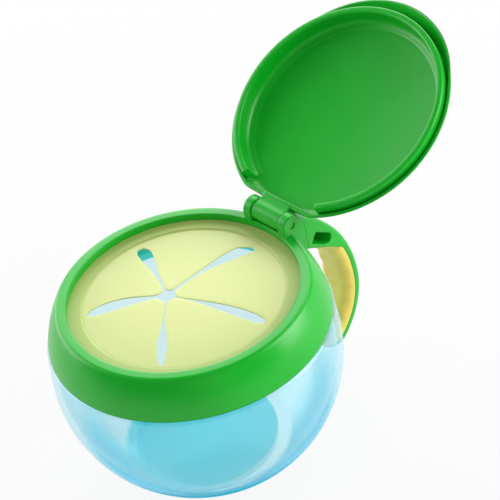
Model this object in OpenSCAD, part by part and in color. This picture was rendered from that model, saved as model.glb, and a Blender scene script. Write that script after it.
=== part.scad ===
// Toddler snack cup: a round bowl, a screw collar with an open handle, a soft disc with
// five flaps that a small hand pushes through, and a flip lid on a pin hinge.
// The origin is on the bowl's axis at the table, +Z up, with the hinge and handle towards +X.
// The lid is modelled open, leaning back on its stop. All sizes are in millimetres.

/* [Bowl] */
// Largest outside radius of the bowl
bowl_r = 45; // [43:0.5:50]
// Height of the bowl's widest place above the table
belly_z = 37.5; // [35:0.5:39]
// Radius of the bowl's side curve below its widest place
low_side_r = 43.5; // [42:0.1:45]
// Height of the bowl's shoulder above the table
shoulder_z = 49.9; // [48:0.1:56]
// Thickness of the bowl's wall
bowl_wall = 2; // [1.6:0.1:2.8]
// Thickness of the bowl's floor
bowl_floor = 2.4; // [1.6:0.1:4]
// How far the upright band under the collar stands in from the widest place
band_step = 0.65; // [0.4:0.05:1]
// Fillet radius where the base turns up into the wall
base_fillet = 3; // [1.5:0.1:4]
// Radius on the outer edge of the shoulder
shoulder_round = 1.2; // [0.6:0.1:1.6]
// Height of the neck above the shoulder
neck_h = 8.9; // [7:0.1:12]
// Thickness of the neck's wall
neck_wall = 1.8; // [1.4:0.1:2.2]

/* [Collar] */
// How far the edge of the mouth stands in from the bowl's widest place
mouth_in = 9.2; // [8.6:0.1:12]
// Thickness of the lip that clamps the flap disc
lip_t = 2.3; // [1.6:0.1:3]
// Width of the lip's top, measured to the collar's outer curve
lip_w = 3.2; // [2.8:0.1:4]
// How far the neck's bore stands back from the lip's edge
neck_ledge = 0.4; // [0.2:0.1:1]
// Space between the neck and the collar for the screw thread
thread_space = 1; // [0.8:0.1:1.4]
// How far the collar's foot stands in from the widest place of the bowl
collar_step = 1.2; // [0.8:0.1:1.8]
// Height of the bulge of the collar's outer curve over its chord
collar_bulge = 0.65; // [0.3:0.05:1.5]
// Radius on the outer edge of the lip
lip_round = 1.8; // [1:0.1:2]
// Gap between the collar's foot and the bowl's shoulder
foot_gap = 0.3; // [0.2:0.05:0.6]

/* [Hinge] */
// Distance of the hinge axis outside the lip's edge
hinge_out = 3; // [2.8:0.1:3.6]
// Height of the hinge axis above the top of the lip
hinge_up = 2.5; // [2.3:0.1:3.2]
// Radius of the lid's knuckle
knuckle_r = 3.3; // [3.1:0.05:3.5]
// Height of the knuckle's web to the lid above the hinge axis
web_up = 1.9; // [1.4:0.1:2]
// Length of the lid's knuckle
knuckle_len = 11.6; // [9:0.1:14]
// Radius of the rounded top of each ear
ear_r = 3.6; // [3.2:0.05:3.65]
// Thickness of each ear
ear_t = 2.9; // [2:0.1:4]
// Radius of the hinge pin
pin_r = 1.1; // [0.8:0.05:1.5]
// Running clearance between the pin and the knuckle
pin_clear = 0.05; // [0.02:0.01:0.1]
// Depth of each pin end below the face of its ear
pin_recess = 0.3; // [0.1:0.1:0.8]
// Side clearance between the knuckle and each ear
knuckle_side_gap = 0.2; // [0.1:0.05:0.4]
// Clearance between the knuckle and its recess in the collar
knuckle_gap = 0.25; // [0.2:0.05:0.4]
// Angle that the lid stands open from closed
open_angle = 153.6; // [100:0.2:153.6]

/* [Lid] */
// How far the lid's skirt reaches past the edge of the mouth
lid_over = 1.8; // [1.6:0.1:2.4]
// Height of the lid's crown above the lip when closed
lid_rise = 7.7; // [7:0.1:10]
// Rise of the crown over the rim of the dome
crown_rise = 1.2; // [0.6:0.1:2]
// Radius of the dome's outer edge
dome_round = 4; // [3:0.1:5]
// Thickness of the lid's top
lid_t = 1.7; // [1.3:0.1:2.2]
// Thickness of the lid's side
skirt_t = 1.2; // [1:0.1:1.6]
// Angle that the lid's side leans in from upright
lid_lean = 37; // [30:1:40]
// Gap between the closed lid's skirt and the lip
skirt_gap = 0.3; // [0.2:0.05:0.6]
// Clearance between the ears and the flat side of the lid
flat_gap = 0.5; // [0.4:0.05:0.8]
// Radius of the corners at the ends of the flat side
flat_corner = 3; // [2:0.5:6]
// Clearance between the seal ring and the lip
seal_gap = 0.2; // [0.2:0.05:0.4]
// Thickness of the seal ring
seal_t = 2.1; // [1.4:0.1:2.8]
// How far the seal ring reaches down into the mouth
seal_depth = 2; // [1:0.1:2]
// Half the angle that the seal ring leaves open at the hinge
seal_open = 26; // [24:1:40]
// How far the disc that makes the thumb tab is set towards the tab
tab_shift = 6; // [4:0.1:7]
// How far the thumb tab stands out past the skirt
tab_out = 2.1; // [1.2:0.1:3]
// Thickness of the thumb tab at its edge
tab_edge = 0.6; // [0.4:0.1:1]
// Height of the hollow under the thumb tab
tab_hollow = 3.4; // [2:0.1:4]
// Width of the slope that the hollow's top runs in by
tab_slope = 3.6; // [3:0.1:4.2]
// Distance from the seal ring to the shallow panel in the lid's ceiling
panel_margin = 7; // [5:0.1:12]
// Depth of the step round the panel
panel_step = 0.3; // [0.2:0.1:0.5]
// How far the panel's centre is set towards the tab
panel_shift = 4; // [0:0.5:5]

/* [Flap disc] */
// Thickness of the disc's clamped rim
disc_t = 1.6; // [1.4:0.1:2.4]
// Thickness of the flaps
flap_t = 1.2; // [0.8:0.1:1.4]
// Gap between the disc's edge and the collar's bore
disc_gap = 0.3; // [0.2:0.05:0.5]
// Width of the thick rim that shows inside the lip
rim_band = 4.6; // [3:0.1:5.6]
// Distance from the thick rim to the outer end of each slit
slit_margin = 2.1; // [1.6:0.1:4]
// Direction of the first slit from +X
slit_angle = -2; // [-10:0.5:10]
// Width of a slit where it leaves the star
slit_narrow = 1; // [0.6:0.1:1.6]
// Width of a slit at its widest
slit_wide = 4.6; // [3:0.1:5]
// Radius of the finger hole where the slits meet
star_r = 3.2; // [2.6:0.1:4]
// How far the finger hole is off the axis, along X and Y
star_at = [-3.2, 4]; // [-5:0.1:5]
// Gap between a flap's rounded root and the disc
root_gap = 0.3; // [0.2:0.05:0.5]

/* [Handle] */
// Gap for fingers between the bowl and the grip
finger_gap = 13.1; // [11:0.1:20]
// Width of the handle
handle_w = 12.6; // [10:0.1:14]
// Thickness of the hard outer skin of the handle
skin_t = 2.3; // [1.8:0.1:2.6]
// Radius on the outer edges of the skin
skin_round = 1.1; // [0.6:0.1:1.4]
// Width of the rib that carries the grip
rib_w = 6.4; // [4:0.1:7]
// Height of that rib
rib_h = 2; // [1:0.1:2.4]
// How far the crest of the handle lies outside the knuckle's recess
crest_out = 0.65; // [0.3:0.05:1]
// How far the crest of the handle lies below the hinge axis
crest_drop = 1; // [0.9:0.05:1.6]
// Outer radius of the handle's lower bend
low_bend_r = 25.9; // [23:0.1:28]
// Angle of the lower bend, down to where the round end starts
low_bend_angle = 52; // [40:1:58]
// Height of the handle's free end above the table
tip_z = 2.6; // [1:0.1:8]
// Length of the handle's root that is moulded with the collar, past the hinge axis
root_len = 6.7; // [6.4:0.1:8]
// Height of the root's lower edge above the collar's foot
root_up = 1.1; // [0.6:0.1:2]
// Places of the grip's upper edge on the upper bend, at the skin and at the inner face
grip_top = [20, 30]; // [16:1:32]
// Width of the coring pocket in the side of the root
pocket_w = 4; // [3:0.1:4.2]
// Length of the coring pocket
pocket_len = 8.3; // [6:0.1:8.6]
// Wall left between the pocket's inner end and the root's lower edge
pocket_wall = 1.8; // [1.6:0.1:2]
// How much steeper the pocket lies than the root's lower edge
pocket_tilt = 5.5; // [3:0.5:6]
// Wall left between the pocket and the collar's end of the root
pocket_in = 1.2; // [1:0.1:2]
// Web left between the pockets of the two sides
pocket_web = 1.6; // [1:0.1:3]

/* [Grip] */
// Thickness of the soft grip at its crown
grip_t = 3.8; // [3.4:0.1:5]
// Radius on the inner edges of the grip
grip_round = 2.6; // [1.5:0.1:3]
// Number of finger grooves across the grip on each bend
grooves = 3; // [1:1:4]
// Depth of a finger groove
groove_depth = 0.35; // [0.2:0.05:0.6]
// Radius of a finger groove
groove_r = 4; // [3:0.5:6]
// Gap between the grip and the rib that it is moulded on
mould_gap = 0.05; // [0.02:0.01:0.1]

/* [Hidden] */
$fn = 96;
over = 0.5;      // how far a cut runs past the face it starts from
arc_steps = 10;  // straight steps in each curved stretch of an outline

// Heights of the parts that stack up over the bowl's shoulder
foot_z = shoulder_z + foot_gap;
rim_z = shoulder_z + neck_h;
disc_z = rim_z + disc_t;
lip_z = disc_z + lip_t;

// Radii that fit round one another at the neck
lip_r = bowl_r - mouth_in;
neck_in_r = lip_r + neck_ledge;
neck_r = neck_in_r + neck_wall;
bore_r = neck_r + thread_space;
disc_r = bore_r - disc_gap;
foot_r = bowl_r - collar_step;
band_r = bowl_r - band_step;

// Hinge
hinge = [lip_r + hinge_out, lip_z + hinge_up];
ear_in_y = knuckle_len / 2 + knuckle_side_gap;
ear_out_y = ear_in_y + ear_t;

// Lid, in its closed place
skirt_z = lip_z + skirt_gap;
crown_z = lip_z + lid_rise;
dome_z = crown_z - crown_rise;
flat_x = hinge[0] - ear_r - flat_gap;
lid_r = lip_r + lid_over;
seal_r = lip_r - seal_gap;
panel_r = seal_r - seal_t - panel_margin;
tab_r = lid_r + tab_out - tab_shift;

// Flap disc
flap_count = 5;  // one node below for each
flap_sector = 360 / flap_count;
step_r = lip_r - rim_band;
slit_end_r = step_r - slit_margin;
root_apothem = slit_end_r * cos(flap_sector / 2);
root_edge = flap_t / 2 + root_gap;

// Handle: two bends that meet at its outermost place, the waist, where they run straight up
handle_t = skin_t + grip_t;
waist = [bowl_r + finger_gap + handle_t,
         tip_z + low_bend_r * sin(low_bend_angle) + handle_w / 2 * cos(low_bend_angle)];
crest = hinge + [knuckle_r + knuckle_gap + crest_out, -crest_drop];
crest_in = waist[0] - crest[0];
up_bend_r = (pow(crest_in, 2) + pow(crest[1] - waist[1], 2)) / (2 * crest_in);
up_centre = waist - [up_bend_r, 0];
low_centre = waist - [low_bend_r, 0];
up_end = acos((hinge[0] - up_centre[0]) / up_bend_r);
root_x = hinge[0] + root_len;
web_in = up_centre + (up_bend_r - handle_t) * [cos(grip_top[1]), sin(grip_top[1])];
web_out = up_centre + (up_bend_r - skin_t) * [cos(grip_top[0]), sin(grip_top[0])];
web_low = [foot_r - collar_bulge / 2, foot_z + root_up];
web_slope = atan2(web_in[1] - web_low[1], web_in[0] - web_low[0]);

// Points of an arc about c from angle a to angle b
function arc_points(c, r, a, b) =
    [for (i = [0:arc_steps]) let(t = a + (b - a) * i / arc_steps) c + r * [cos(t), sin(t)]];

// Centre of the arc that bulges by s to the right of the way from p up to q
function bulge_centre(p, q, s) =
    let(d = norm(q - p), n = [q[1] - p[1], p[0] - q[0]] / d)
    (p + q) / 2 - n * (d * d / (8 * s) - s / 2);

function angle_of(c, p) = atan2(p[1] - c[1], p[0] - c[0]);

// Centre of a fillet inside a circle about c that also touches the level line at z
function fillet_centre(c, r, f, z, side) =
    [c[0] + sqrt(pow(r - f, 2) - pow(z + side * f - c[1], 2)), z + side * f];

// Slit outlines on the disc
function slit_end(k) = slit_end_r * [cos(slit_angle + k * flap_sector), sin(slit_angle + k * flap_sector)];
function slit_half(t) = let(
        grow = sin(90 * min(1, max(0, (t - 0.2) / 0.5))),
        shut = t > 0.8 ? sqrt(max(0, 1 - pow((t - 0.8) / 0.2, 2))) : 1)
    (slit_narrow + (slit_wide - slit_narrow) * grow * grow) / 2 * shut;
function slit_side(k, side) = let(
        run = slit_end(k) - star_at, across = [-run[1], run[0]] / norm(run) * side, n = 2 * arc_steps)
    [for (i = [0:n]) star_at + run * i / n + across * slit_half(i / n)];
function reversed(v) = [for (i = [len(v) - 1:-1:0]) v[i]];

module slit_shape(k) {
    polygon(concat(slit_side(k, 1), reversed(slit_side(k, -1))));
}

// The flap between two slits; past widens it beyond the flap's root
module flap_wedge(k, past = 0) {
    root_dir = slit_angle + (k + 0.5) * flap_sector;
    ends = [slit_end(k), slit_end(k + 1)];
    out = past * [cos(root_dir), sin(root_dir)];
    polygon(concat([star_at, ends[0]], past > 0 ? [ends[0] + out, ends[1] + out] : [], [ends[1]]));
}

// ---- bowl

module bowl_outline() {
    c = [0, belly_z];
    in_r = bowl_r - bowl_wall;
    low_c = [bowl_r - low_side_r, belly_z];
    low_in_r = low_side_r - bowl_wall;
    foot = fillet_centre(low_c, low_side_r, base_fillet, 0, 1);
    floor_c = fillet_centre(low_c, low_in_r, base_fillet, bowl_floor, 1);
    band_in = band_r - bowl_wall;
    ledge_z = shoulder_z - bowl_wall;
    polygon(concat(
        [[0, 0]],
        arc_points(foot, base_fillet, -90, angle_of(low_c, foot)),
        arc_points(low_c, low_side_r, angle_of(low_c, foot), 0),
        arc_points(c, bowl_r, 0, acos(band_r / bowl_r)),
        arc_points([band_r - shoulder_round, shoulder_z - shoulder_round], shoulder_round, 0, 90),
        [[neck_r, shoulder_z], [neck_r, rim_z], [neck_in_r, rim_z]],
        arc_points([neck_in_r + bowl_wall, ledge_z + bowl_wall], bowl_wall, 180, 270),
        arc_points([band_in - shoulder_round, ledge_z - shoulder_round], shoulder_round, 90, 0),
        arc_points(c, in_r, acos(band_in / in_r), 0),
        arc_points(low_c, low_in_r, 0, angle_of(low_c, floor_c)),
        arc_points(floor_c, base_fillet, angle_of(low_c, floor_c), -90),
        [[0, bowl_floor]]));
}

module bowl() {
    color([0.45, 0.83, 0.9, 0.5]) rotate_extrude() bowl_outline();
}

// ---- handle

// Sweeps a section round one bend of the handle; the section's outer face is on its own x = 0
module bend(centre, r, from, to) {
    translate([centre[0], 0, centre[1]]) rotate([90, 0, 0]) rotate([0, 0, from])
        rotate_extrude(angle = to - from) translate([r, 0]) children();
}

// Turns half of the same section into the handle's round free end
module round_end() {
    translate([low_centre[0], 0, low_centre[1]]) rotate([90, 0, 0]) rotate([0, 0, -low_bend_angle])
        translate([low_bend_r, 0, 0]) rotate([180, 0, 0]) rotate([0, 90, 0]) rotate_extrude(angle = 180)
            intersection() {
                mirror([1, -1, 0]) children();
                translate([0, -handle_w]) square(2 * handle_w);
            }
}

// A strip of width w and thickness t, with its outer edges rounded by r
module rounded_side(w, t, r) {
    $fn = 32;
    intersection() {
        union() {
            for (s = [-1, 1]) translate([-r, s * (w / 2 - r)]) circle(r);
            translate([-t, -w / 2 + r]) square([t, w - 2 * r]);
            translate([-t, -w / 2]) square([t - r, w]);
        }
        translate([-t, -w / 2]) square([t, w]);
    }
}

// The section's outer face is on x = 0, and y runs across the handle
module skin_section() {
    rounded_side(handle_w, skin_t, skin_round);
}

module rib_section(gap = 0) {
    translate([-skin_t - rib_h - gap, -rib_w / 2 - gap]) square([rib_h + gap + over, rib_w + 2 * gap]);
}

module spine_section() {
    skin_section();
    rib_section();
}

module grip_section() {
    difference() {
        translate([-handle_t - skin_t, 0]) mirror([1, 0]) translate([-skin_t, 0])
            rounded_side(handle_w, grip_t, grip_round);
        rib_section(mould_gap);
    }
}

// Side outline of the solid root, between the outer bend, the collar and the grip's upper edge
module root_outline() {
    out = up_bend_r - skin_round;
    polygon(concat(
        [web_low, web_in, web_out],
        arc_points(up_centre, out, angle_of(up_centre, web_out), up_end),
        [[bore_r, web_low[1] + web_low[0] - bore_r]]));
}

module root_pocket() {
    translate(web_low) rotate(web_slope - pocket_tilt)
        translate([root_x + pocket_in - web_low[0], pocket_wall]) {
            square([pocket_len - pocket_w / 2, pocket_w]);
            translate([pocket_len - pocket_w / 2, pocket_w / 2]) circle(pocket_w / 2);
        }
}

// A block inside the strip, across each end face of the lower bend, makes what meets there one solid
module joint_blocks(w, from, to) {
    inset = skin_round / 2;
    for (t = [0, low_bend_angle]) translate([low_centre[0], 0, low_centre[1]]) rotate([0, t, 0])
        translate([low_bend_r - to + inset, inset - w / 2, -over])
            cube([to - from - 2 * inset, w - 2 * inset, 2 * over]);
}

module upper_skin() {
    bend(up_centre, up_bend_r, 0, up_end) skin_section();
    rotate([90, 0, 0]) linear_extrude(handle_w, center = true) root_outline();
}

// Everything on one side of the plane where the handle leaves the collar's moulding
module past_root(side) {
    reach = 2 * handle_t + waist[0];
    translate([side > 0 ? root_x : root_x - reach, -handle_w, 0]) cube([reach, 2 * handle_w, 2 * lip_z]);
}

module handle() {
    color([0.36, 0.76, 0.35]) difference() {
        union() {
            intersection() {
                upper_skin();
                past_root(1);
            }
            bend(up_centre, up_bend_r, 0, grip_top[0] + 2) rib_section();
            joint_blocks(rib_w, 0, skin_t + rib_h);
            bend(low_centre, low_bend_r, -low_bend_angle, 0) spine_section();
            round_end() spine_section();
        }
        for (s = [-1, 1]) translate([0, s * (pocket_web / 2 + handle_w / 2), 0])
            rotate([90, 0, 0]) linear_extrude(handle_w, center = true) root_pocket();
    }
}

module handle_grip() {
    groove_in = handle_t + groove_r - groove_depth;
    color([0.87, 0.8, 0.42]) difference() {
        union() {
            bend(up_centre, up_bend_r, 0, grip_top[1]) grip_section();
            joint_blocks(handle_w - 2 * grip_round, skin_t + rib_h, handle_t);
            bend(low_centre, low_bend_r, -low_bend_angle, 0) grip_section();
            round_end() grip_section();
        }
        rotate([90, 0, 0]) linear_extrude(2 * handle_w, center = true)
            polygon([web_in, web_out, web_out + handle_t * [1, 1], web_in + handle_t * [0, 2]]);
        for (i = [0:grooves - 1]) {
            bend_groove(up_centre, up_bend_r - groove_in, (i + 0.5) * grip_top[1] / grooves);
            bend_groove(low_centre, low_bend_r - groove_in, -(i + 0.5) * low_bend_angle / grooves);
        }
    }
}

module bend_groove(centre, r, angle) {
    translate([centre[0] + r * cos(angle), 0, centre[1] + r * sin(angle)])
        rotate([90, 0, 0]) cylinder(r = groove_r, h = 2 * handle_w, center = true);
}

// ---- collar

module collar_outline() {
    foot = [foot_r, foot_z];
    top = [lip_r + lip_w, lip_z];
    c = bulge_centre(foot, top, collar_bulge);
    r = norm(foot - c);
    edge = fillet_centre(c, r, lip_round, lip_z, -1);
    polygon(concat(
        [[lip_r, disc_z]],
        [[bore_r, disc_z], [bore_r, foot_z]],
        arc_points(c, r, angle_of(c, foot), angle_of(c, edge)),
        arc_points(edge, lip_round, angle_of(c, edge), 90),
        [[lip_r, lip_z]]));
}

module ear(side) {
    mid_y = side * (ear_in_y + ear_t / 2);
    translate([hinge[0], mid_y, hinge[1]]) rotate([90, 0, 0]) cylinder(r = ear_r, h = ear_t, center = true);
    translate([hinge[0] - ear_r, mid_y - ear_t / 2, web_low[1]])
        cube([2 * ear_r, ear_t, hinge[1] - web_low[1]]);
}

module collar() {
    color([0.36, 0.76, 0.35]) difference() {
        union() {
            rotate_extrude() collar_outline();
            difference() {
                union() {
                    for (s = [-1, 1]) ear(s);
                    intersection() {
                        upper_skin();
                        past_root(-1);
                    }
                }
                translate([0, 0, foot_z - over]) cylinder(r = bore_r, h = disc_z - foot_z + over);
            }
        }
        translate([hinge[0], 0, hinge[1]]) rotate([90, 0, 0]) {
            cylinder(r = knuckle_r + knuckle_gap, h = 2 * ear_in_y, center = true);
            cylinder(r = pin_r, h = 2 * ear_out_y + 2 * over, center = true);
        }
    }
}

module hinge_pin() {
    color([0.36, 0.76, 0.35]) translate([hinge[0], 0, hinge[1]]) rotate([90, 0, 0])
        cylinder(r = pin_r, h = 2 * (ear_out_y - pin_recess), center = true);
}

// ---- lid, drawn closed and then turned open about the hinge

// Half outline of a dome whose side leans in from radius r at the skirt's edge
function dome_points(r, edge, top, low) = let(
        z = top - crown_rise - edge,
        c = [r - (edge + (z - skirt_z) * sin(lid_lean)) / cos(lid_lean), z])
    concat([[0, low], [r + (skirt_z - low) * tan(lid_lean), low]],
           arc_points(c, edge, lid_lean, 85), [[0, top]]);

// Plan of the lid: a disc with one side cut flat and its two corners rounded
module flat_sided_plan(r, x, corner) {
    c = [x - corner, sqrt(pow(r - corner, 2) - pow(x - corner, 2))];
    a = atan2(c[1], c[0]);
    polygon(concat(
        arc_points(c, corner, a, 0),
        arc_points([c[0], -c[1]], corner, 0, -a),
        [for (i = [0:36]) let(t = -a - (360 - 2 * a) * i / 36) (r + over) * [cos(t), sin(t)]]));
}

module lid_shape(inset) {
    r = lid_r - inset * skirt_t / cos(lid_lean);
    top = crown_z - inset * lid_t;
    low = skirt_z - inset * over;
    intersection() {
        rotate_extrude() polygon(dome_points(r, dome_round - inset * skirt_t, top, low));
        translate([0, 0, low - over]) linear_extrude(top - low + 2 * over)
            flat_sided_plan(r, flat_x - inset * skirt_t, flat_corner - inset * skirt_t);
    }
}

// The thumb tab is the edge of a second, smaller dome set towards it
module tab_dome() {
    translate([-tab_shift, 0, 0]) rotate_extrude()
        polygon(dome_points(tab_r, dome_round, dome_z, skirt_z));
}

// The hollow under the tab ends at the seal ring's outer face
module tab_underside() {
    r = tab_r - tab_edge;
    difference() {
        translate([-tab_shift, 0, 0]) {
            translate([0, 0, skirt_z]) cylinder(r1 = r, r2 = r - tab_slope, h = tab_hollow);
            translate([0, 0, skirt_z - over]) cylinder(r = r, h = over);
        }
        cylinder(r = seal_r, h = crown_z);
    }
}

module seal_ring() {
    low = lip_z - seal_depth;
    rotate([0, 0, seal_open]) rotate_extrude(angle = 360 - 2 * seal_open) intersection() {
        translate([seal_r - seal_t, low]) square([seal_t, crown_z - low]);
        polygon(dome_points(lid_r - skirt_t / 2, dome_round, crown_z - lid_t / 2, low));
    }
}

module knuckle() {
    translate([hinge[0], 0, hinge[1]]) rotate([90, 0, 0])
        cylinder(r = knuckle_r, h = knuckle_len, center = true);
    translate([flat_x - skirt_t / 2, -knuckle_len / 2, skirt_z])
        cube([hinge[0] - flat_x + skirt_t / 2, knuckle_len, hinge[1] + web_up - skirt_z]);
}

module lid_closed() {
    difference() {
        union() {
            difference() {
                union() {
                    lid_shape(0);
                    tab_dome();
                }
                lid_shape(1);
                tab_underside();
                translate([-panel_shift, 0, dome_z - lid_t])
                    cylinder(r = panel_r, h = crown_rise / 2 + panel_step);
            }
            seal_ring();
            knuckle();
        }
        translate([hinge[0], 0, hinge[1]]) rotate([90, 0, 0])
            cylinder(r = pin_r + pin_clear, h = knuckle_len + 2 * over, center = true);
    }
}

module lid() {
    color([0.36, 0.76, 0.35]) translate([hinge[0], 0, hinge[1]]) rotate([0, open_angle, 0])
        translate([-hinge[0], 0, -hinge[1]]) lid_closed();
}

// ---- flap disc

module flap_rim() {
    color([0.76, 0.82, 0.5]) difference() {
        translate([0, 0, rim_z]) rotate_extrude()
            polygon([[0, 0], [disc_r, 0], [disc_r, disc_t], [step_r + disc_t - flap_t, disc_t],
                     [step_r, flap_t], [0, flap_t]]);
        translate([0, 0, rim_z - over]) linear_extrude(disc_t + 2 * over)
            for (k = [0:flap_count - 1]) {
                flap_wedge(k, root_edge);
                slit_shape(k);
            }
    }
}

module flap(k) {
    root_dir = slit_angle + (k + 0.5) * flap_sector;
    root_half = slit_end_r * sin(flap_sector / 2) - 0.8 * slit_wide;
    color([0.92, 0.94, 0.68]) {
        translate([0, 0, rim_z]) linear_extrude(flap_t) difference() {
            flap_wedge(k);
            slit_shape(k);
            slit_shape(k + 1);
            translate(star_at) circle(star_r);
        }
        translate([root_apothem * cos(root_dir), root_apothem * sin(root_dir), rim_z + flap_t / 2])
            rotate([90, 0, root_dir]) cylinder(r = flap_t / 2, h = 2 * root_half, center = true);
    }
}

bowl();
collar();
handle();
handle_grip();
hinge_pin();
lid();
flap_rim();
flap(0);  // flap_1
flap(1);  // flap_2
flap(2);  // flap_3
flap(3);  // flap_4
flap(4);  // flap_5
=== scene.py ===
import math

import bmesh
import bpy
from mathutils import Matrix, Vector


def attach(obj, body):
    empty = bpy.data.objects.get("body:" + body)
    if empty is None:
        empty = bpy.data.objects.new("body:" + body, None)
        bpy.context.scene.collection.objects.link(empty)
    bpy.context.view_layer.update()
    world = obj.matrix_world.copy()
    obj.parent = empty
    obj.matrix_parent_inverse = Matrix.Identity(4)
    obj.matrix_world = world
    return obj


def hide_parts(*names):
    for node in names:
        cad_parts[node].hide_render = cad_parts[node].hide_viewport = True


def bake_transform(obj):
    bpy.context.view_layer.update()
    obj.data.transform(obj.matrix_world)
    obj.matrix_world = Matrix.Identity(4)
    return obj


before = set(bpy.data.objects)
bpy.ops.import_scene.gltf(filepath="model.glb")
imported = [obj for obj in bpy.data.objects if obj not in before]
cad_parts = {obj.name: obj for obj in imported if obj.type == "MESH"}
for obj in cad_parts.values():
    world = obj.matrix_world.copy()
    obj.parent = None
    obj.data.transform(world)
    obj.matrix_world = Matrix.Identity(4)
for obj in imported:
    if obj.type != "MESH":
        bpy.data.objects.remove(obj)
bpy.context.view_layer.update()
mm = 0.001
weld = 1e-4  # millimetres: points closer than this are one

# sizes that more than one piece shares, in millimetres
cup = {
    "bowlRadius": 45.0,
    "bellyHeight": 37.5,
    "lowSideRadius": 43.5,
    "shoulderHeight": 49.9,
    "neckTop": 58.8,
    "neckRadius": 38.0,
    "neckInside": 36.2,
    "discThickness": 1.6,
    "flapThickness": 1.2,
    "hingeX": 38.8,
    "hingeHeight": 65.2,
    "openAngle": 153.6,
}
hinge = Vector((cup["hingeX"], 0, cup["hingeHeight"]))


# mesh helpers, in millimetres until makePiece scales them to metres

class Pen:  # draws an outline in the XZ plane
    def __init__(self, bm, x, z):
        self.bm = bm
        self.first = self.last = bm.verts.new((x, 0, z))

    def line(self, x, z):
        new = self.bm.verts.new((x, 0, z))
        self.bm.edges.new((self.last, new))
        self.last = new
        return self

    def run(self, x, z, parts):  # a line in equal parts
        startX, startZ = self.last.co.x, self.last.co.z
        for part in range(1, parts + 1):
            self.line(startX + (x - startX) * part / parts, startZ + (z - startZ) * part / parts)
        return self

    def arc(self, x, z, degrees, steps):  # turns the pen about x, z, anticlockwise
        swept = bmesh.ops.spin(self.bm, geom=[self.last], cent=(x, 0, z), axis=(0, -1, 0),
                               angle=math.radians(degrees), steps=steps)
        self.last = next(e for e in swept["geom_last"] if isinstance(e, bmesh.types.BMVert))
        return self

    def close(self):
        self.bm.edges.new((self.last, self.first))
        return self


def ray(degrees):  # points along an angle in the XZ plane
    return Vector((math.cos(math.radians(degrees)), 0, math.sin(math.radians(degrees))))


def geometry(bm, faces=True):
    return bm.verts[:] + bm.edges[:] + (bm.faces[:] if faces else [])


def onlyVerts(geom):
    return [e for e in geom if isinstance(e, bmesh.types.BMVert)]


def turned(bm, centre, axis, degrees):
    bmesh.ops.rotate(bm, cent=centre, matrix=Matrix.Rotation(math.radians(degrees), 3, axis), verts=bm.verts)


def tidyShell(bm):
    bmesh.ops.remove_doubles(bm, verts=bm.verts, dist=weld)
    bmesh.ops.dissolve_degenerate(bm, edges=bm.edges, dist=weld / 10)
    bmesh.ops.recalc_face_normals(bm, faces=bm.faces)


def revolve(bm, steps):
    bmesh.ops.spin(bm, geom=geometry(bm, False), cent=(0, 0, 0), axis=(0, 0, 1), angle=2 * math.pi,
                   steps=steps, use_merge=True)
    tidyShell(bm)


def joined(bm, other):  # adds a finished shell to the first one
    mesh = bpy.data.meshes.new("joined")
    other.to_mesh(mesh)
    other.free()
    bm.from_mesh(mesh)
    bpy.data.meshes.remove(mesh)


def makePiece(name, bm, material, body, sharp=38):  # edges turn sharp from this angle
    bmesh.ops.scale(bm, vec=(mm, mm, mm), verts=bm.verts)
    mesh = bpy.data.meshes.new(name)
    bm.to_mesh(mesh)
    bm.free()
    mesh.materials.append(material)
    for face in mesh.polygons:
        face.use_smooth = True
    mesh.set_sharp_from_angle(angle=math.radians(sharp))
    obj = bpy.data.objects.new(name, mesh)
    bpy.context.scene.collection.objects.link(obj)
    if body:  # a flap has none
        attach(obj, body)
    return obj


# material helpers

class Wire:  # a socket of a material's nodes, with arithmetic
    def __init__(self, tree, socket=None):
        self.tree = tree
        self.socket = socket

    def node(self, kind, settings=None, inputs=None, output=0):
        node = self.tree.nodes.new(kind)
        for name, value in (settings or {}).items():
            setattr(node, name, value)
        for name, value in (inputs or {}).items():
            if isinstance(value, Wire):
                self.tree.links.new(value.socket, node.inputs[name])
            else:
                node.inputs[name].default_value = value
        return Wire(self.tree, node.outputs[output] if node.outputs else None)

    def maths(self, operation, *values):
        return self.node("ShaderNodeMath", {"operation": operation}, dict(enumerate(values)))

    def __add__(self, other):
        return self.maths("ADD", self, other)

    def __sub__(self, other):
        return self.maths("SUBTRACT", self, other)

    def __rsub__(self, other):
        return self.maths("SUBTRACT", other, self)

    def __mul__(self, other):
        return self.maths("MULTIPLY", self, other)

    def __truediv__(self, other):
        return self.maths("DIVIDE", self, other)

    def __pow__(self, other):
        return self.maths("POWER", self, other)

    __radd__ = __add__
    __rmul__ = __mul__

    def atMost(self, limit):
        return self.maths("MINIMUM", self, limit)

    def clamped(self, low, high):  # 0 at low and 1 at high
        return self.node("ShaderNodeMapRange", {"interpolation_type": "SMOOTHSTEP"},
                         {"Value": self, "From Min": low, "From Max": high})

    def place(self, axis=None):
        coords = self.node("ShaderNodeTexCoord", output="Object")
        if axis is None:
            return coords
        return self.node("ShaderNodeSeparateXYZ", inputs={"Vector": coords}, output=axis)

    def noise(self, size, detail=2.0):
        return self.node("ShaderNodeTexNoise", inputs={
            "Vector": self.place(), "Scale": 1 / (size * mm), "Detail": detail})

    def uneven(self, middle, spread, size):  # wanders about its middle
        return self.noise(size) * spread + (middle - spread / 2)

    def mixed(self, factor, first, second):  # two colours
        return self.node("ShaderNodeMix", {"data_type": "RGBA"}, {"Factor": factor, 6: first, 7: second},
                         output=2)

    def layered(self, factor, under, over):  # two shaders
        return self.node("ShaderNodeMixShader", inputs={0: factor, 1: under, 2: over})

    def bump(self, height, depth, normal=None):
        inputs = {"Height": height, "Distance": depth * mm, "Strength": 1.0}
        if normal:
            inputs["Normal"] = normal
        return self.node("ShaderNodeBump", inputs=inputs)

    def finish(self, shader):
        self.node("ShaderNodeOutputMaterial", inputs={"Surface": shader})


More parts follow.
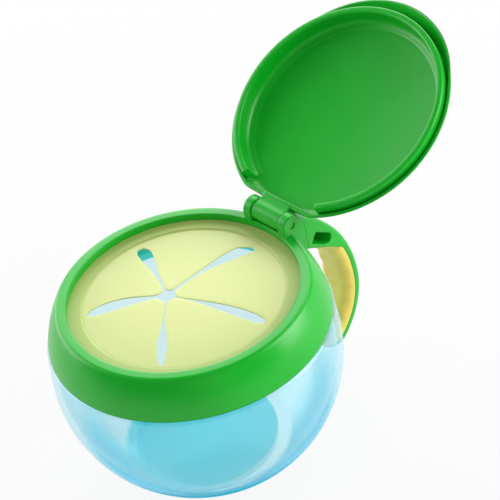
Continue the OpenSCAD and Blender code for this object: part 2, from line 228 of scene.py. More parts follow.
def newMaterial(name):
    material = bpy.data.materials.new(name)
    material.use_nodes = True
    material.node_tree.nodes.clear()
    return material, Wire(material.node_tree)


def rgb(colour):  # a screen colour, 0 to 255, as the shader wants it
    shares = [part / 255 for part in colour]
    return (*(s / 12.92 if s <= 0.04045 else ((s + 0.055) / 1.055) ** 2.4 for s in shares), 1)


# materials: sizes in millimetres, colours from 0 to 255

shellLook = {"colour": (12, 180, 38), "shade": (8, 175, 34), "patch": 18, "patchRange": (0.35, 0.7),
             "roughness": 0.31, "mottle": 0.03, "mottleSize": 3, "grain": 0.35, "grainDepth": 0.0015,
             "edgeRound": 0.8}


def makeShellMaterial():
    look = shellLook
    material, wire = newMaterial("mouldedShell")
    patches = wire.noise(look["patch"]).clamped(*look["patchRange"])
    rounded = wire.node("ShaderNodeBevel", {"samples": 6}, {"Radius": look["edgeRound"] * mm})
    wire.finish(wire.node("ShaderNodeBsdfPrincipled", inputs={
        "Base Color": wire.mixed(patches, rgb(look["colour"]), rgb(look["shade"])), "IOR": 1.5,
        "Roughness": wire.uneven(look["roughness"], look["mottle"], look["mottleSize"]),
        "Normal": wire.bump(wire.noise(look["grain"], 1), look["grainDepth"], rounded)}))
    return material


gripLook = {"colour": (243, 216, 106), "worn": (234, 205, 92), "patch": 9, "patchRange": (0.3, 0.75),
            "roughness": 0.62, "mottle": 0.12, "mottleSize": 4, "grain": 0.3, "grainDepth": 0.01,
            "glow": 0.3, "glowDepth": 3}


def makeGripMaterial():
    look = gripLook
    material, wire = newMaterial("softGrip")
    patches = wire.noise(look["patch"], 3).clamped(*look["patchRange"])
    wire.finish(wire.node("ShaderNodeBsdfPrincipled", inputs={
        "Base Color": wire.mixed(patches, rgb(look["colour"]), rgb(look["worn"])), "IOR": 1.42,
        "Roughness": wire.uneven(look["roughness"], look["mottle"], look["mottleSize"]),
        "Normal": wire.bump(wire.noise(look["grain"]), look["grainDepth"]),
        "Sheen Weight": 0.15, "Sheen Roughness": 0.5, "Subsurface Weight": look["glow"],
        "Subsurface Radius": (1.0, 0.7, 0.3), "Subsurface Scale": look["glowDepth"] * mm}))
    return material


# the disc turns darker and greener towards its edge, and more so on its rim: painted shade of the collar's
# lip, with the green collar showing through the soft disc
discLook = {"middle": (217, 226, 151), "edge": (207, 218, 143), "rim": (170, 192, 104),
            "edgeShadeRange": (8, 31), "rimShadeRange": (30.6, 31.6), "roughness": 0.45, "mottle": 0.1,
            "mottleSize": 5, "grain": 0.4, "grainDepth": 0.006}


def makeDiscMaterial():
    look = discLook
    material, wire = newMaterial("softDisc")
    x, y = wire.place("X"), wire.place("Y")
    radius = (x * x + y * y) ** 0.5 / mm
    # painted shade, with the collar's green seen through, deepening towards the edge
    flat = wire.mixed(radius.clamped(*look["edgeShadeRange"]), rgb(look["middle"]), rgb(look["edge"]))
    wire.finish(wire.node("ShaderNodeBsdfPrincipled", inputs={
        # the rim takes the deepest painted shade of the collar's lip, with the collar's green seen through
        "Base Color": wire.mixed(radius.clamped(*look["rimShadeRange"]), flat, rgb(look["rim"])),
        "Roughness": wire.uneven(look["roughness"], look["mottle"], look["mottleSize"]), "IOR": 1.42,
        "Normal": wire.bump(wire.noise(look["grain"]), look["grainDepth"])}))
    return material


bowlLook = {"milkRoughness": 0.7, "shine": (240, 252, 255), "roughness": 0.1, "sheen": 0.03,
            "rimLight": 0.38, "edgeCloud": 0.3, "ripple": 14, "rippleDepth": 0.02}
bowlTints = {  # each zone's tint, the colour of its haze, and how thick the haze is
    "wall": {"clear": (242, 253, 255), "haze": (196, 236, 250), "cloud": 0.1},
    "low": {"clear": (56, 228, 250), "haze": (30, 212, 248), "cloud": 0.75},
    # the floor's tint is deeper for its thicker plastic, and deeper still as painted shade of the cup's
    # shadow on the table
    "floor": {"clear": (112, 242, 250), "haze": (70, 214, 236), "cloud": 0.4},
    # the neck's bright teal haze is painted light where the collar shades the neck, and stands in for the
    # green collar seen through it
    "neck": {"clear": (170, 252, 246), "haze": (60, 245, 238), "cloud": 0.7},
}
bowlZones = {  # where each zone fades out or in
    "lowHeight": (9, 21), "lowFacing": (0.3, 0.6), "outerSkin": (-1.3, -0.7),
    "floorHeight": (2.7, 4.2), "floorCentre": (-2.6, 4.2), "floorRadius": (24.0, 24.8),
    "neckHeight": (47.9, 49.1), "neckRadius": (39, 40.5),
}


def makeBowlMaterial():
    look, zone, tints = bowlLook, bowlZones, bowlTints
    material, wire = newMaterial("tintedClear")
    height = wire.place("Z") / mm
    x, y = wire.place("X") / mm, wire.place("Y") / mm
    radius = (x * x + y * y) ** 0.5
    below = cup["bellyHeight"] - height
    side = (cup["lowSideRadius"] ** 2 - below * below) ** 0.5 + (cup["bowlRadius"] - cup["lowSideRadius"])
    outer = (radius - side).clamped(*zone["outerSkin"])
    facing = wire.node("ShaderNodeLayerWeight", inputs={"Blend": 0.5}, output="Facing")
    # the tint is deeper where the light passes along the wall
    low = (1 - height.clamped(*zone["lowHeight"])) * outer * facing.clamped(*zone["lowFacing"])
    # the bowl's floor: a deeper tint for its thicker plastic, plus painted shade of the shadow beneath the
    # cup
    floorX, floorY = zone["floorCentre"]
    fromMiddle = ((x - floorX) ** 2 + (y - floorY) ** 2) ** 0.5
    floor = (1 - height.clamped(*zone["floorHeight"])) * (1 - fromMiddle.clamped(*zone["floorRadius"]))
    # the neck zone: painted light in the collar's shade, tinted teal for the green collar behind
    neck = height.clamped(*zone["neckHeight"]) * (1 - radius.clamped(*zone["neckRadius"]))

    clear = wire.node("ShaderNodeBsdfTransparent", inputs={"Color": rgb(tints["wall"]["clear"])})
    haze, cloud = rgb(tints["wall"]["haze"]), tints["wall"]["cloud"]
    for name, mask in (("low", low), ("floor", floor), ("neck", neck)):
        tint = tints[name]
        deeper = wire.node("ShaderNodeBsdfTransparent", inputs={"Color": rgb(tint["clear"])})
        clear = wire.layered(mask, clear, deeper)
        haze = wire.mixed(mask, haze, rgb(tint["haze"]))
        cloud = cloud * (1 - mask) + mask * tint["cloud"]
    milky = wire.node("ShaderNodeBsdfPrincipled", inputs={
        "Base Color": haze, "Roughness": look["milkRoughness"], "Specular IOR Level": 0.0})
    body = wire.layered((cloud + facing ** 3 * look["edgeCloud"]).atMost(1.0), clear, milky)
    gloss = wire.node("ShaderNodeBsdfPrincipled", inputs={
        "Base Color": rgb(look["shine"]), "Roughness": look["roughness"], "Metallic": 1.0,
        "Normal": wire.bump(wire.noise(look["ripple"], 1), look["rippleDepth"])})
    amount = (facing ** 4 * look["rimLight"] + look["sheen"]) * (1 - low)
    wire.finish(wire.layered(amount, body, gloss))
    return material


shellMaterial = makeShellMaterial()
gripMaterial = makeGripMaterial()
discMaterial = makeDiscMaterial()
bowlMaterial = makeBowlMaterial()
print("materials made")


# bowl and its screw thread

bowlSizes = {"wall": 2.0, "floor": 2.4, "baseFillet": 3.0, "bandRadius": 44.35, "shoulderRound": 1.2,
             "neckEdge": 0.4, "ledgeRound": 2.0, "steps": 160}
threadSizes = {"start": 1.0, "pitch": 7.98, "turns": 0.95, "depth": 0.75, "foot": 0.9, "crest": 0.25,
               "sink": 0.3, "fade": 0.04, "thinnest": 0.05, "steps": 120}


def filletCentre(x, height, radius, fillet, z):  # a fillet inside a circle about x, height, standing on z
    return x + math.sqrt((radius - fillet) ** 2 - (z + fillet - height) ** 2), z + fillet


def makeBowl():
    size = bowlSizes
    radius, belly, shoulder = cup["bowlRadius"], cup["bellyHeight"], cup["shoulderHeight"]
    neck, neckInside, neckTop = cup["neckRadius"], cup["neckInside"], cup["neckTop"]
    wall, fillet, edge, turn = size["wall"], size["baseFillet"], size["neckEdge"], size["shoulderRound"]
    lowX = radius - cup["lowSideRadius"]
    footX, footZ = filletCentre(lowX, belly, cup["lowSideRadius"], fillet, 0)
    footAngle = math.degrees(math.atan2(footZ - belly, footX - lowX))
    floorX, floorZ = filletCentre(lowX, belly, cup["lowSideRadius"] - wall, fillet, size["floor"])
    floorAngle = math.degrees(math.atan2(floorZ - belly, floorX - lowX))
    band = size["bandRadius"]
    bandInside, inside = band - wall, radius - wall
    bandAngle = math.degrees(math.acos(band / radius))
    insideAngle = math.degrees(math.acos(bandInside / inside))
    ledge, ledgeRound = shoulder - wall, size["ledgeRound"]

    bm = bmesh.new()
    pen = Pen(bm, 0, 0).line(footX, 0).arc(footX, footZ, 90 + footAngle, 8)
    pen.arc(lowX, belly, -footAngle, 32).arc(0, belly, bandAngle, 6).line(band, shoulder - turn)
    pen.arc(band - turn, shoulder - turn, 90, 6).line(neck, shoulder)
    pen.line(neck, neckTop - edge).arc(neck - edge, neckTop - edge, 90, 3)
    pen.line(neckInside + edge, neckTop).arc(neckInside + edge, neckTop - edge, 90, 3)
    pen.line(neckInside, ledge + ledgeRound).arc(neckInside + ledgeRound, ledge + ledgeRound, 90, 6)
    pen.line(bandInside - turn, ledge).arc(bandInside - turn, ledge - turn, -90, 6)
    pen.line(bandInside, belly + inside * math.sin(math.radians(insideAngle)))
    pen.arc(0, belly, -insideAngle, 6).arc(lowX, belly, floorAngle, 32)
    pen.arc(floorX, floorZ, -90 - floorAngle, 6).line(0, size["floor"])
    revolve(bm, size["steps"])
    bowl = makePiece("bowlShell", bm, bowlMaterial, "bowl")
    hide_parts("bowl")
    print("bowl made")


def makeThread():
    size = threadSizes
    start, rise = cup["shoulderHeight"] + size["start"], size["pitch"] * size["turns"]
    root, crest = cup["neckRadius"] - size["sink"], cup["neckRadius"] + size["depth"]
    bm = bmesh.new()
    pen = Pen(bm, root, start - size["foot"]).line(crest, start - size["crest"])
    pen.line(crest, start + size["crest"]).line(root, start + size["foot"]).close()
    bm.faces.new(bm.verts[:])
    bmesh.ops.spin(bm, geom=geometry(bm), cent=(0, 0, 0), axis=(0, 0, 1), dvec=(0, 0, rise / size["steps"]),
                   angle=2 * math.pi * size["turns"], steps=size["steps"])
    for vert in bm.verts:  # the ends run down into the neck
        share = (vert.co.z - start) / rise
        fade = min(1, max(0, min(share, 1 - share)) / size["fade"])
        radius = math.hypot(vert.co.x, vert.co.y)
        over = radius - root
        if over > weld:
            keep = (root + over * max(size["thinnest"], fade)) / radius
            vert.co.x *= keep
            vert.co.y *= keep
    tidyShell(bm)
    makePiece("neckThread", bm, bowlMaterial, "bowl")
    print("screw thread made")


makeBowl()
makeThread()


# lid, made closed and then turned open about its pin

lidSizes = {"skirt": 63.0, "radius": 37.6, "lean": 37, "crown": 70.4, "crownRise": 1.2, "edgeRound": 4.0,
            "thickness": 1.7, "rim": 1.5, "rimIn": 0.35, "rimUp": 0.45, "rimRound": 0.3, "innerEdge": 0.25,
            "grooveTop": 64.0, "innerRound": 3.2, "ceilingRise": 2.0, "flatX": 34.7, "flatBlend": 0.4,
            "plainRadius": 15, "crownSteps": 12, "ceilingSteps": 40, "steps": 216}
tabSizes = {"shift": 6.0, "radius": 33.7, "edge": 0.6, "hollow": 3.4, "slope": 3.6, "blend": 0.7,
            "hollowBlend": 0.5}
ringSizes = {"outer": 35.6, "inner": 33.5, "low": 60.7, "open": 26, "fillet": 2.4, "innerEdge": 0.5,
             "outerEdge": 0.35, "outerWall": 1.9, "back": 0.6, "sink": 0.5, "sinkIn": 0.3,
             "steps": 180}
knuckleSizes = {"radius": 3.3, "length": 11.6, "hole": 1.15, "webFrom": 33.4, "webTop": 1.9, "webEnd": 35.8,
                "lap": 0.02}
lidLean = math.radians(lidSizes["lean"])


def softMax(first, second, reach):  # the larger one, with a smooth change over within reach
    gap = max(reach - abs(first - second), 0) / reach
    return max(first, second) + gap * gap * reach / 4


def offsetDisc(shift, radius, angle):  # how far a disc set off by shift reaches at an angle
    return -shift * math.cos(angle) + math.sqrt(max(0, radius ** 2 - (shift * math.sin(angle)) ** 2))


def tabRadiusAt(height):  # the tab's side leans in, then rounds over
    edge, radius, skirt = lidSizes["edgeRound"], tabSizes["radius"], lidSizes["skirt"]
    centre = lidSizes["crown"] - 2 * lidSizes["crownRise"] - edge
    if height < centre + edge * math.sin(lidLean):
        return radius - (height - skirt) * math.tan(lidLean)
    middle = radius - (edge + (centre - skirt) * math.sin(lidLean)) / math.cos(lidLean)
    return middle + math.sqrt(max(0, edge ** 2 - (height - centre) ** 2))


def shapeLid(vert, inside):  # adds the tab and cuts the hinge side flat
    size, tab = lidSizes, tabSizes
    reach, angle = math.hypot(vert.co.x, vert.co.y), math.atan2(vert.co.y, vert.co.x)
    height = vert.co.z - size["skirt"]
    if reach < size["plainRadius"]:
        return
    if inside and height < tab["hollow"]:
        hollow = tab["radius"] - tab["edge"] - tab["slope"] * max(0, height) / tab["hollow"]
        reach = softMax(reach, offsetDisc(tab["shift"], hollow, angle), tab["hollowBlend"])
    elif not inside:
        reach = softMax(reach, offsetDisc(tab["shift"], tabRadiusAt(vert.co.z), angle), tab["blend"])
    flat = size["flatX"] - (size["rim"] if inside else 0)
    vert.co.x = -softMax(-reach * math.cos(angle), -flat, size["flatBlend"])
    vert.co.y = reach * math.sin(angle)


def ceilingEdge():  # radius and height where the ceiling's dome starts
    size = lidSizes
    turn, height = size["innerRound"], size["crown"] - size["thickness"] - size["ceilingRise"]
    wallTop = height - turn * (1 - math.sin(lidLean))
    wall = size["radius"] - size["rim"] - (wallTop - size["grooveTop"]) * math.tan(lidLean)
    return wall - turn * math.cos(lidLean), height


def makeLidShell():
    size = lidSizes
    skirt, radius, crown, crownRise = size["skirt"], size["radius"], size["crown"], size["crownRise"]
    edge, turn, innerEdge = size["edgeRound"], size["innerRound"], size["innerEdge"]
    domeZ = crown - crownRise - edge
    domeX = radius - (edge + (domeZ - skirt) * math.sin(lidLean)) / math.cos(lidLean)
    bm = bmesh.new()
    isInside = bm.verts.layers.int.new("inside")
    pen, parts = Pen(bm, 0, crown), size["crownSteps"]
    for part in range(1, parts + 1):  # the crown falls away towards its edge
        pen.line(domeX * part / parts, crown - crownRise * (part / parts) ** 2)
    pen.arc(domeX, domeZ, -90 + size["lean"], 14).run(radius - size["rimIn"], skirt + size["rimUp"], 8)
    rimX = radius - size["rimIn"] - size["rimRound"] * math.cos(lidLean)
    pen.arc(rimX, skirt + size["rimRound"], -90 - size["lean"], 4)
    outerCount = len(bm.verts)

    inner = radius - size["rim"]
    pen.line(inner + innerEdge, skirt).arc(inner + innerEdge, skirt + innerEdge, -90, 3)
    pen.line(inner, size["grooveTop"])
    ceilingX, ceiling = ceilingEdge()
    pen.run(ceilingX + turn * math.cos(lidLean), ceiling - turn * (1 - math.sin(lidLean)), 8)
    pen.arc(ceilingX, ceiling - turn, 90 - size["lean"], 10)
    parts = size["ceilingSteps"]
    for part in range(parts - 1, -1, -1):  # and the ceiling rises towards its middle
        pen.line(ceilingX * part / parts, ceiling + size["ceilingRise"] * (1 - (part / parts) ** 2))
    bm.verts.ensure_lookup_table()
    for vert in bm.verts[outerCount:]:
        vert[isInside] = 1
    revolve(bm, size["steps"])
    for vert in bm.verts:
        shapeLid(vert, vert[isInside])
    return bm


def makeSealRing():  # its fillet runs smoothly onto the domed ceiling
    size, rise = ringSizes, lidSizes["ceilingRise"]
    low, inner, outer, turn = size["low"], size["inner"], size["outer"], size["fillet"]
    innerEdge, outerEdge = size["innerEdge"], size["outerEdge"]
    domeRadius, domeHeight = ceilingEdge()
    slope = math.atan(2 * rise * (inner - turn) / domeRadius ** 2)
    startX = inner - turn * (1 - math.sin(slope))
    startZ = domeHeight + rise * (1 - (startX / domeRadius) ** 2)
    ceiling = startZ + turn * (1 - math.cos(slope))
    wallTop, back = lidSizes["skirt"] + size["outerWall"], inner - size["back"]
    bm = bmesh.new()
    pen = Pen(bm, inner, low + innerEdge).arc(inner + innerEdge, low + innerEdge, 90, 4)
    pen.line(outer - outerEdge, low).arc(outer - outerEdge, low + outerEdge, 90, 4).line(outer, wallTop)
    # from here to the fillet the outline lies inside the lid's wall
    pen.line(back, wallTop + (outer - back) / math.tan(lidLean))
    pen.line(startX - size["sinkIn"], ceiling + size["sink"]).line(startX, startZ)
    pen.arc(inner - turn, ceiling - turn, math.degrees(slope) - 90, 10).close()
    bm.faces.new(bm.verts[:])
    turned(bm, (0, 0, 0), "Z", size["open"])
    bmesh.ops.spin(bm, geom=geometry(bm), cent=(0, 0, 0), axis=(0, 0, 1),
                   angle=math.radians(360 - 2 * size["open"]), steps=size["steps"])
    tidyShell(bm)
    return bm


def makeKnuckle():
    size = knuckleSizes
    around, skirt = size["radius"], lidSizes["skirt"] - size["lap"]
    bm = bmesh.new()
    pen = Pen(bm, size["webFrom"], skirt).line(size["webEnd"], skirt)
    acrossX, acrossZ = size["webEnd"] - hinge.x, skirt - hinge.z  # from here the web runs onto the barrel
    start = math.atan2(acrossZ, acrossX) + math.acos(around / math.hypot(acrossX, acrossZ))
    start = math.degrees(start) % 360
    touch = hinge + ray(start) * around
    last = 180 - math.degrees(math.asin(size["webTop"] / around))
    pen.line(touch.x, touch.z).arc(hinge.x, hinge.z, (last - start) % 360, 30)
    pen.line(size["webFrom"], hinge.z + size["webTop"]).close()
    bmesh.ops.create_circle(bm, radius=size["hole"], segments=24,
                            matrix=Matrix.Translation(hinge) @ Matrix.Rotation(math.pi / 2, 4, "X"))
    bmesh.ops.triangle_fill(bm, use_beauty=True, edges=bm.edges[:])
    pushed = bmesh.ops.extrude_face_region(bm, geom=bm.faces[:])
    bmesh.ops.translate(bm, vec=(0, size["length"], 0), verts=onlyVerts(pushed["geom"]))
    bmesh.ops.translate(bm, vec=(0, -size["length"] / 2, 0), verts=bm.verts)
    tidyShell(bm)
    return bm


def makeLid():
    bm = makeLidShell()
    joined(bm, makeSealRing())
    joined(bm, makeKnuckle())
    turned(bm, hinge, "Y", cup["openAngle"])
    lid = makePiece("lidShell", bm, shellMaterial, "lid")
    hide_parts("lid")
    print("lid made")


makeLid()


# flap disc: a rim and five flaps between its slits

discSizes = {"outer": 38.7, "step": 31.2, "stepLap": 0.05, "stepEdge": 0.75, "stepRound": 0.5,
             "slitEnd": 29.1, "slitTurn": -2.0, "slitFrom": 0.06, "slitSteps": 40, "tipShape": 2.4,
             "hub": (-3.2, 4.0), "hubRadius": 2.9, "hubClear": 1.02, "tipHollow": 0.12, "tipSteps": 8,
             "rimSteps": 24, "rootBack": 2.0, "rootClear": 0.3, "cell": 1.5, "cellReach": (34, 24),
             "merge": 0.02, "raise": 0.9, "flapSkin": 0.4, "flapEdge": 0.15, "steps": 144}
flapCount = 5
flapAngle = 360 / flapCount
hub = Vector((*discSizes["hub"], 0))
# each slit: its outer tip; its width at the hub, at its widest and where that is along it; where it starts
# to widen and how late; how far it bows to its left; how blunt its tip is and how far that slants
slitShapes = [
    {"tip": (27.9, -0.4), "neck": 1.2, "wide": 5.2, "widest": 0.95, "from": 0.20, "late": 3.0, "bow": 1.5,
     "blunt": 0.07, "slant": 3.0},
    {"tip": (7.7, 27.7), "neck": 0.8, "wide": 4.3, "widest": 0.90, "from": 0.15, "late": 3.0, "bow": -0.4,
     "blunt": 0.13, "slant": -0.6},
    {"tip": (-23.2, 18.7), "neck": 1.4, "wide": 4.6, "widest": 0.70, "from": 0.10, "late": 1.6, "bow": -1.4,
     "blunt": 0.30, "slant": -1.2},
    {"tip": (-25.2, -16.8), "neck": 0.4, "wide": 3.1, "widest": 0.74, "from": 0.30, "late": 1.5, "bow": -0.3,
     "blunt": 0.34, "slant": 0.0},
    {"tip": (6.5, -28.6), "neck": 0.5, "wide": 3.6, "widest": 0.76, "from": 0.15, "late": 1.5, "bow": 1.0,
     "blunt": 0.20, "slant": 0.4},
]


def slitHalfWidth(shape, share):
    grow = min(1, max(0, (share - shape["from"]) / (shape["widest"] - shape["from"])))
    width = shape["neck"] + (shape["wide"] - shape["neck"]) * math.sin(math.pi / 2 * grow) ** shape["late"]
    past = max(0, share - 1 + shape["blunt"]) / shape["blunt"]
    return width / 2 * math.sqrt(max(0, 1 - past ** discSizes["tipShape"]))


def slitEdge(index, side):  # from the hub outwards
    shape, first, steps = slitShapes[index % flapCount], discSizes["slitFrom"], discSizes["slitSteps"]
    run = Vector((*shape["tip"], 0)) - hub
    ahead = run.normalized()
    across = Vector((-ahead.y, ahead.x, 0))
    points = []
    for step in range(steps + 1):
        share = first + (1 - first) * math.sin(math.pi / 2 * step / steps)
        half = slitHalfWidth(shape, share) * side
        back = shape["slant"] * half / shape["wide"] * share ** 4
        bow = shape["bow"] * 4 * share * (1 - share)
        points.append(hub + run * share + across * (half + bow) - ahead * back)
    return points


def flapOutline(index):  # out along one slit, along the rim, back along the next and round the finger hole
    size = discSizes
    firstEdge, lastEdge = slitEdge(index, 1), slitEdge(index + 1, -1)
    start, end = firstEdge[0] - hub, lastEdge[0] - hub
    clear = size["hubRadius"] * size["hubClear"]
    out, home = ([p for p in edge if (p - hub).length > clear] for edge in (firstEdge, lastEdge))
    rim, tip, steps = [], [], size["rimSteps"]
    for step in range(steps + 1):
        turn = math.radians(size["slitTurn"] + flapAngle * (index + step / steps))
        rim.append(Vector((math.cos(turn), math.sin(turn), 0)) * size["step"])
    turnStart = math.atan2(start.y, start.x)
    turnEnd = turnStart + (math.atan2(end.y, end.x) - turnStart) % (2 * math.pi)
    steps = size["tipSteps"]
    for step in range(1, steps):
        turn = turnEnd + (turnStart - turnEnd) * step / steps
        reach = size["hubRadius"] * (1 - size["tipHollow"] * math.sin(math.pi * step / steps))
        tip.append(hub + Vector((math.cos(turn), math.sin(turn), 0)) * reach)
    return out + rim + home[::-1] + tip


def slitEdges(bm):  # where a flap's top or underside meets a slit, but not its root
    found, reach = [], discSizes["slitEnd"] - discSizes["rootClear"]
    for edge in bm.edges:
        if len(edge.link_faces) != 2:
            continue
        first, second = (abs(face.normal.z) for face in edge.link_faces)
        middle = (edge.verts[0].co + edge.verts[1].co) / 2
        if abs(first - second) >= 0.5 and math.hypot(middle.x, middle.y) < reach:
            found.append(edge)
    return found


def crownHeight(x, y):  # the flaps stand up a little towards the middle
    share = min(1, math.hypot(x, y) / discSizes["step"])
    return discSizes["raise"] * (1 - share * share)


def makeRim():
    size, low = discSizes, cup["neckTop"]
    top, edgeX = low + cup["discThickness"], size["step"] + size["stepEdge"]
    inner = size["step"] - size["stepLap"]
    bm = bmesh.new()
    pen = Pen(bm, inner, low).line(size["outer"], low).line(size["outer"], top).line(edgeX, top)
    pen.arc(edgeX, top - size["stepRound"], 60, 4).line(inner, low + cup["flapThickness"]).close()
    revolve(bm, size["steps"])
    rim = makePiece("discRim", bm, discMaterial, "disc", sharp=50)
    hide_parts("flap_rim")


def makeFlap(index):
    size = discSizes
    root = math.radians(size["slitTurn"] + flapAngle * (index + 0.5))
    inward = Vector((-math.cos(root), -math.sin(root), 0))
    sideways = Vector((-inward.y, inward.x, 0))
    bm = bmesh.new()
    bm.faces.new([bm.verts.new(p) for p in flapOutline(index)])
    for axis, reach in zip((inward, sideways), size["cellReach"]):  # small cells across the flap
        count = int(2 * reach / size["cell"])
        for step in range(count + 1):
            bmesh.ops.bisect_plane(bm, geom=geometry(bm), dist=weld, plane_no=axis,
                                   plane_co=axis * (-reach + 2 * reach * step / count))
    bmesh.ops.remove_doubles(bm, verts=bm.verts, dist=size["merge"])
    pushed = bmesh.ops.extrude_face_region(bm, geom=bm.faces[:])
    bmesh.ops.translate(bm, vec=(0, 0, size["flapSkin"]), verts=onlyVerts(pushed["geom"]))
    bmesh.ops.recalc_face_normals(bm, faces=bm.faces)
    bmesh.ops.bevel(bm, geom=slitEdges(bm), offset=size["flapEdge"], segments=2, affect="EDGES", profile=0.5,
                    material=-1, clamp_overlap=True)
    low, thin = cup["neckTop"], cup["flapThickness"]
    for vert in bm.verts:
        vert.co.z += low + thin - size["flapSkin"] + crownHeight(vert.co.x, vert.co.y)
    tidyShell(bm)
    flap = makePiece(f"flapPetal{index + 1}", bm, discMaterial, None, sharp=50)
    apothem = size["slitEnd"] * math.cos(math.radians(flapAngle / 2))
    fold = -inward * apothem + Vector((0, 0, low + thin / 2))
    (fold - inward * size["rootBack"]) * mm
    (fold + inward * size["rootBack"]) * mm
    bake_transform(flap)
    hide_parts(f"flap_{index + 1}")


makeRim()
for index in range(flapCount):
    makeFlap(index)
print("flap disc made")


# soft grip, swept round the two bends of the handle

handleSizes = {"waistX": 64.2, "crestX": 43.0, "crestHeight": 64.2, "lowRadius": 25.9, "lowAngle": 52,
               "tip": 2.6, "width": 12.6, "skin": 2.3, "depth": 6.1, "ribWidth": 6.4, "ribHeight": 2.0,
               "cutSkin": 20, "cutInside": 30}
gripSizes = {"round": 3.4, "edge": 0.25, "gap": 0.05, "pitch": 5.7, "ripple": 0.42, "rippleFrom": 0.4,
             "rippleFull": 2.0, "rippleShape": 1.4, "overrun": 4, "upperSteps": 60, "lowerSteps": 54,
             "endSteps": 28}


def handleBends():  # the centre and radius of the upper and the lower bend
    size = handleSizes
    lowTurn = math.radians(size["lowAngle"])
    waistZ = size["tip"] + size["lowRadius"] * math.sin(lowTurn) + size["width"] / 2 * math.cos(lowTurn)
    across, up = size["waistX"] - size["crestX"], size["crestHeight"] - waistZ
    upRadius = (across ** 2 + up ** 2) / (2 * across)
    return (Vector((size["waistX"] - upRadius, 0, waistZ)), upRadius,
            Vector((size["waistX"] - size["lowRadius"], 0, waistZ)), size["lowRadius"])


def gripSection(bm, half):  # the outline of the grip's U, at the waist; half keeps the side y >= 0
    size = handleSizes
    outer, inner = size["waistX"] - size["skin"], size["waistX"] - size["depth"]
    side, rib = size["width"] / 2, size["ribWidth"] / 2 + gripSizes["gap"]
    notch = outer - size["ribHeight"] - gripSizes["gap"]
    turn, edge = gripSizes["round"], gripSizes["edge"]
    pen = Pen(bm, notch, 0).line(notch, rib).line(outer, rib).line(outer, side - edge)
    pen.arc(outer - edge, side - edge, 90, 3).line(inner + turn, side).arc(inner + turn, side - turn, 90, 8)
    pen.line(inner, (side - turn) / 2).line(inner, 0)
    if not half:
        pen.line(inner, (turn - side) / 2).line(inner, turn - side).arc(inner + turn, turn - side, 90, 8)
        pen.line(outer - edge, -side).arc(outer - edge, edge - side, 90, 3).line(outer, -rib)
        pen.line(notch, -rib).close()
    turned(bm, (0, 0, 0), "X", -90)
    bmesh.ops.translate(bm, vec=(0, 0, handleBends()[0].z), verts=bm.verts)


def sweptGrip(half, tilt, centre, axis, degrees, steps):
    bm = bmesh.new()
    gripSection(bm, half)
    turned(bm, centre, "Y", tilt)
    bmesh.ops.spin(bm, geom=geometry(bm, False), cent=centre, axis=axis, angle=math.radians(degrees),
                   steps=steps)
    return bm


def cutGripTop(bm):  # a slanting end under the handle's root
    size = handleSizes
    upCentre, upRadius = handleBends()[:2]
    outPoint = upCentre + ray(size["cutSkin"]) * (upRadius - size["skin"])
    inPoint = upCentre + ray(size["cutInside"]) * (upRadius - size["depth"])
    slope = (inPoint - outPoint).normalized()
    normal = Vector((-slope.z, 0, slope.x))
    if normal.z < 0:
        normal = -normal
    cut = bmesh.ops.bisect_plane(bm, geom=geometry(bm), dist=weld, plane_co=outPoint, plane_no=normal,
                                 clear_outer=True)
    edges = [e for e in cut["geom_cut"] if isinstance(e, bmesh.types.BMEdge)]
    bmesh.ops.holes_fill(bm, edges=edges, sides=0)


def makeGrip():
    size, soft = handleSizes, gripSizes
    upCentre, upRadius, lowCentre, lowRadius = handleBends()
    lowAngle = size["lowAngle"]
    upAngle = size["cutInside"] + soft["overrun"]
    bm = sweptGrip(False, 0, upCentre, (0, -1, 0), upAngle, soft["upperSteps"])
    joined(bm, sweptGrip(False, 0, lowCentre, (0, 1, 0), lowAngle, soft["lowerSteps"]))
    joined(bm, sweptGrip(True, lowAngle, lowCentre, -ray(-lowAngle), 180, soft["endSteps"]))
    tidyShell(bm)
    cutGripTop(bm)
    for vert in bm.verts:  # soft ribs across the palm side
        centre, radius = (upCentre, upRadius) if vert.co.z >= upCentre.z else (lowCentre, lowRadius)
        flat = Vector((vert.co.x - centre.x, 0, vert.co.z - centre.z))
        run = math.atan2(flat.z, flat.x) * (radius - size["depth"])
        deep = radius - flat.length - size["skin"] - soft["rippleFrom"]
        wave = (0.5 - 0.5 * math.cos(2 * math.pi * run / soft["pitch"])) ** soft["rippleShape"]
        vert.co += flat.normalized() * wave * soft["ripple"] * min(1, max(0, deep / soft["rippleFull"]))
    tidyShell(bm)
    grip = makePiece("gripSleeve", bm, gripMaterial, "collar", sharp=50)
    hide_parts("handle_grip")
    print("grip made")


makeGrip()


# collar, handle and pin keep the frame's own shapes

for name in ("collar", "handle", "hinge_pin"):
    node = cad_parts[name]
    node.data.materials.clear()
    node.data.materials.append(shellMaterial)
print("collar, handle and pin finished")


# floor, world, lamps and camera

stageLook = {"floor": (214, 214, 214), "floorReach": 3, "glow": 0.88, "world": 0.1}


def makeFloor():
    bm = bmesh.new()
    bmesh.ops.create_grid(bm, x_segments=2, y_segments=2, size=stageLook["floorReach"])
    mesh = bpy.data.meshes.new("floor")
    bm.to_mesh(mesh)
    bm.free()
    floor = bpy.data.objects.new("floor", mesh)
    bpy.context.scene.collection.objects.link(floor)
    material, wire = newMaterial("paleFloor")
    seen, glossy, through = (wire.node("ShaderNodeLightPath", output=f"Is {kind} Ray")
                             for kind in ("Camera", "Glossy", "Transmission"))
    matt = wire.node("ShaderNodeBsdfDiffuse", inputs={"Color": rgb(stageLook["floor"])})
    glow = wire.node("ShaderNodeEmission", inputs={"Color": (1, 1, 1, 1), "Strength": 1.0})
    shown = wire.layered(stageLook["glow"], matt, glow)
    wire.finish(wire.layered((seen + glossy + through).atMost(1.0), matt, shown))
    mesh.materials.append(material)


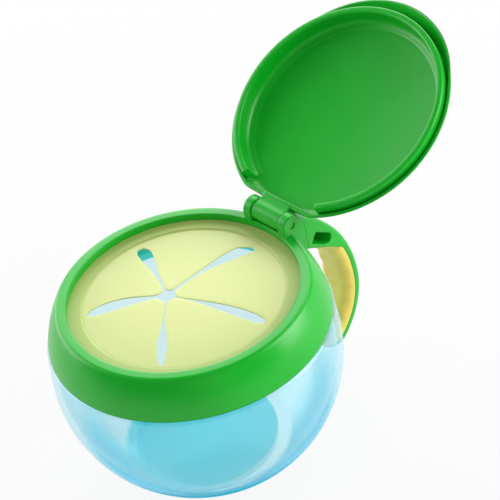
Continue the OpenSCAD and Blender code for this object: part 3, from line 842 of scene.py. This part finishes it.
def makeWorld():  # white to the camera, and dim to the object
    world = bpy.data.worlds.new("studio")
    bpy.context.scene.world = world
    world.use_nodes = True
    world.node_tree.nodes.clear()
    wire = Wire(world.node_tree)
    seen = wire.node("ShaderNodeLightPath", output="Is Camera Ray")
    dim, white = (wire.node("ShaderNodeBackground", inputs={"Color": (1, 1, 1, 1), "Strength": strength})
                  for strength in (stageLook["world"], 1.0))
    wire.node("ShaderNodeOutputWorld", inputs={"Surface": wire.layered(seen, dim, white)})


# two panels at the sides, one behind, and two in front that leave no reflection of their own;
# sizes in metres, power in watts, and the azimuth runs from +X towards +Y
lamps = {
    "sideRight": {"azimuth": 318, "elevation": 22, "width": 0.5, "height": 0.75, "power": 7.8},
    "sideLeft": {"azimuth": 106, "elevation": 20, "width": 0.9, "height": 0.74, "power": 7.3},
    "behind": {"azimuth": 38, "elevation": 25, "width": 1.0, "height": 0.8, "power": 8.6},
    "frontHigh": {"azimuth": 210, "elevation": 48, "width": 1.2, "height": 0.8, "power": 1.8,
                  "mirrored": False},
    "frontLow": {"azimuth": 241, "elevation": 18, "width": 0.5, "height": 0.3, "power": 1.6,
                 "mirrored": False},
}
lampAim = Vector((0, 0, 0.05))
lampReach = 0.9


def makeLamps():
    for name, lamp in lamps.items():
        light = bpy.data.lights.new(name, "AREA")
        light.shape = "RECTANGLE"
        light.size, light.size_y = lamp["width"], lamp["height"]
        light.energy = lamp["power"]
        obj = bpy.data.objects.new(name, light)
        obj.visible_glossy = lamp.get("mirrored", True)
        bpy.context.scene.collection.objects.link(obj)
        turn, rise = math.radians(lamp["azimuth"]), math.radians(lamp["elevation"])
        away = Vector((math.cos(turn) * math.cos(rise), math.sin(turn) * math.cos(rise), math.sin(rise)))
        obj.location = lampAim + away * lampReach
        obj.rotation_euler = (-away).to_track_quat("-Z", "Y").to_euler()


# metres, millimetres for the lens and degrees; the camera is panned off its target and then rolled
view = {"target": (0, 0, 0.0502), "azimuth": -34.7, "elevation": 40.56, "distance": 0.7584, "lens": 180,
        "sensor": 36, "nearest": 0.01, "roll": -13.32, "panRight": 1.72, "panUp": 1.27}


def makeCamera():
    azimuth, elevation, roll, panRight, panUp = (math.radians(view[name]) for name in (
        "azimuth", "elevation", "roll", "panRight", "panUp"))
    back = Vector((math.sin(azimuth) * math.cos(elevation), -math.cos(azimuth) * math.cos(elevation),
                   math.sin(elevation)))
    right = Vector((math.cos(azimuth), math.sin(azimuth), 0))
    up = back.cross(right)
    forward = (right * math.tan(panRight) + up * math.tan(panUp) - back).normalized()
    right = forward.cross(up).normalized()
    up = right.cross(forward)
    rolledRight = right * math.cos(roll) + up * math.sin(roll)
    rolledUp = up * math.cos(roll) - right * math.sin(roll)
    data = bpy.data.cameras.new("camera")
    data.lens = view["lens"]
    data.sensor_width = view["sensor"]
    data.clip_start = view["nearest"]
    camera = bpy.data.objects.new("camera", data)
    bpy.context.scene.collection.objects.link(camera)
    place = Matrix((rolledRight, rolledUp, -forward)).transposed().to_4x4()
    place.translation = Vector(view["target"]) + back * view["distance"]
    camera.matrix_world = place
    bpy.context.scene.camera = camera


makeFloor()
makeWorld()
makeLamps()
makeCamera()
bpy.context.scene.view_settings.view_transform = "Standard"
print("stage made")

print("scene ready")
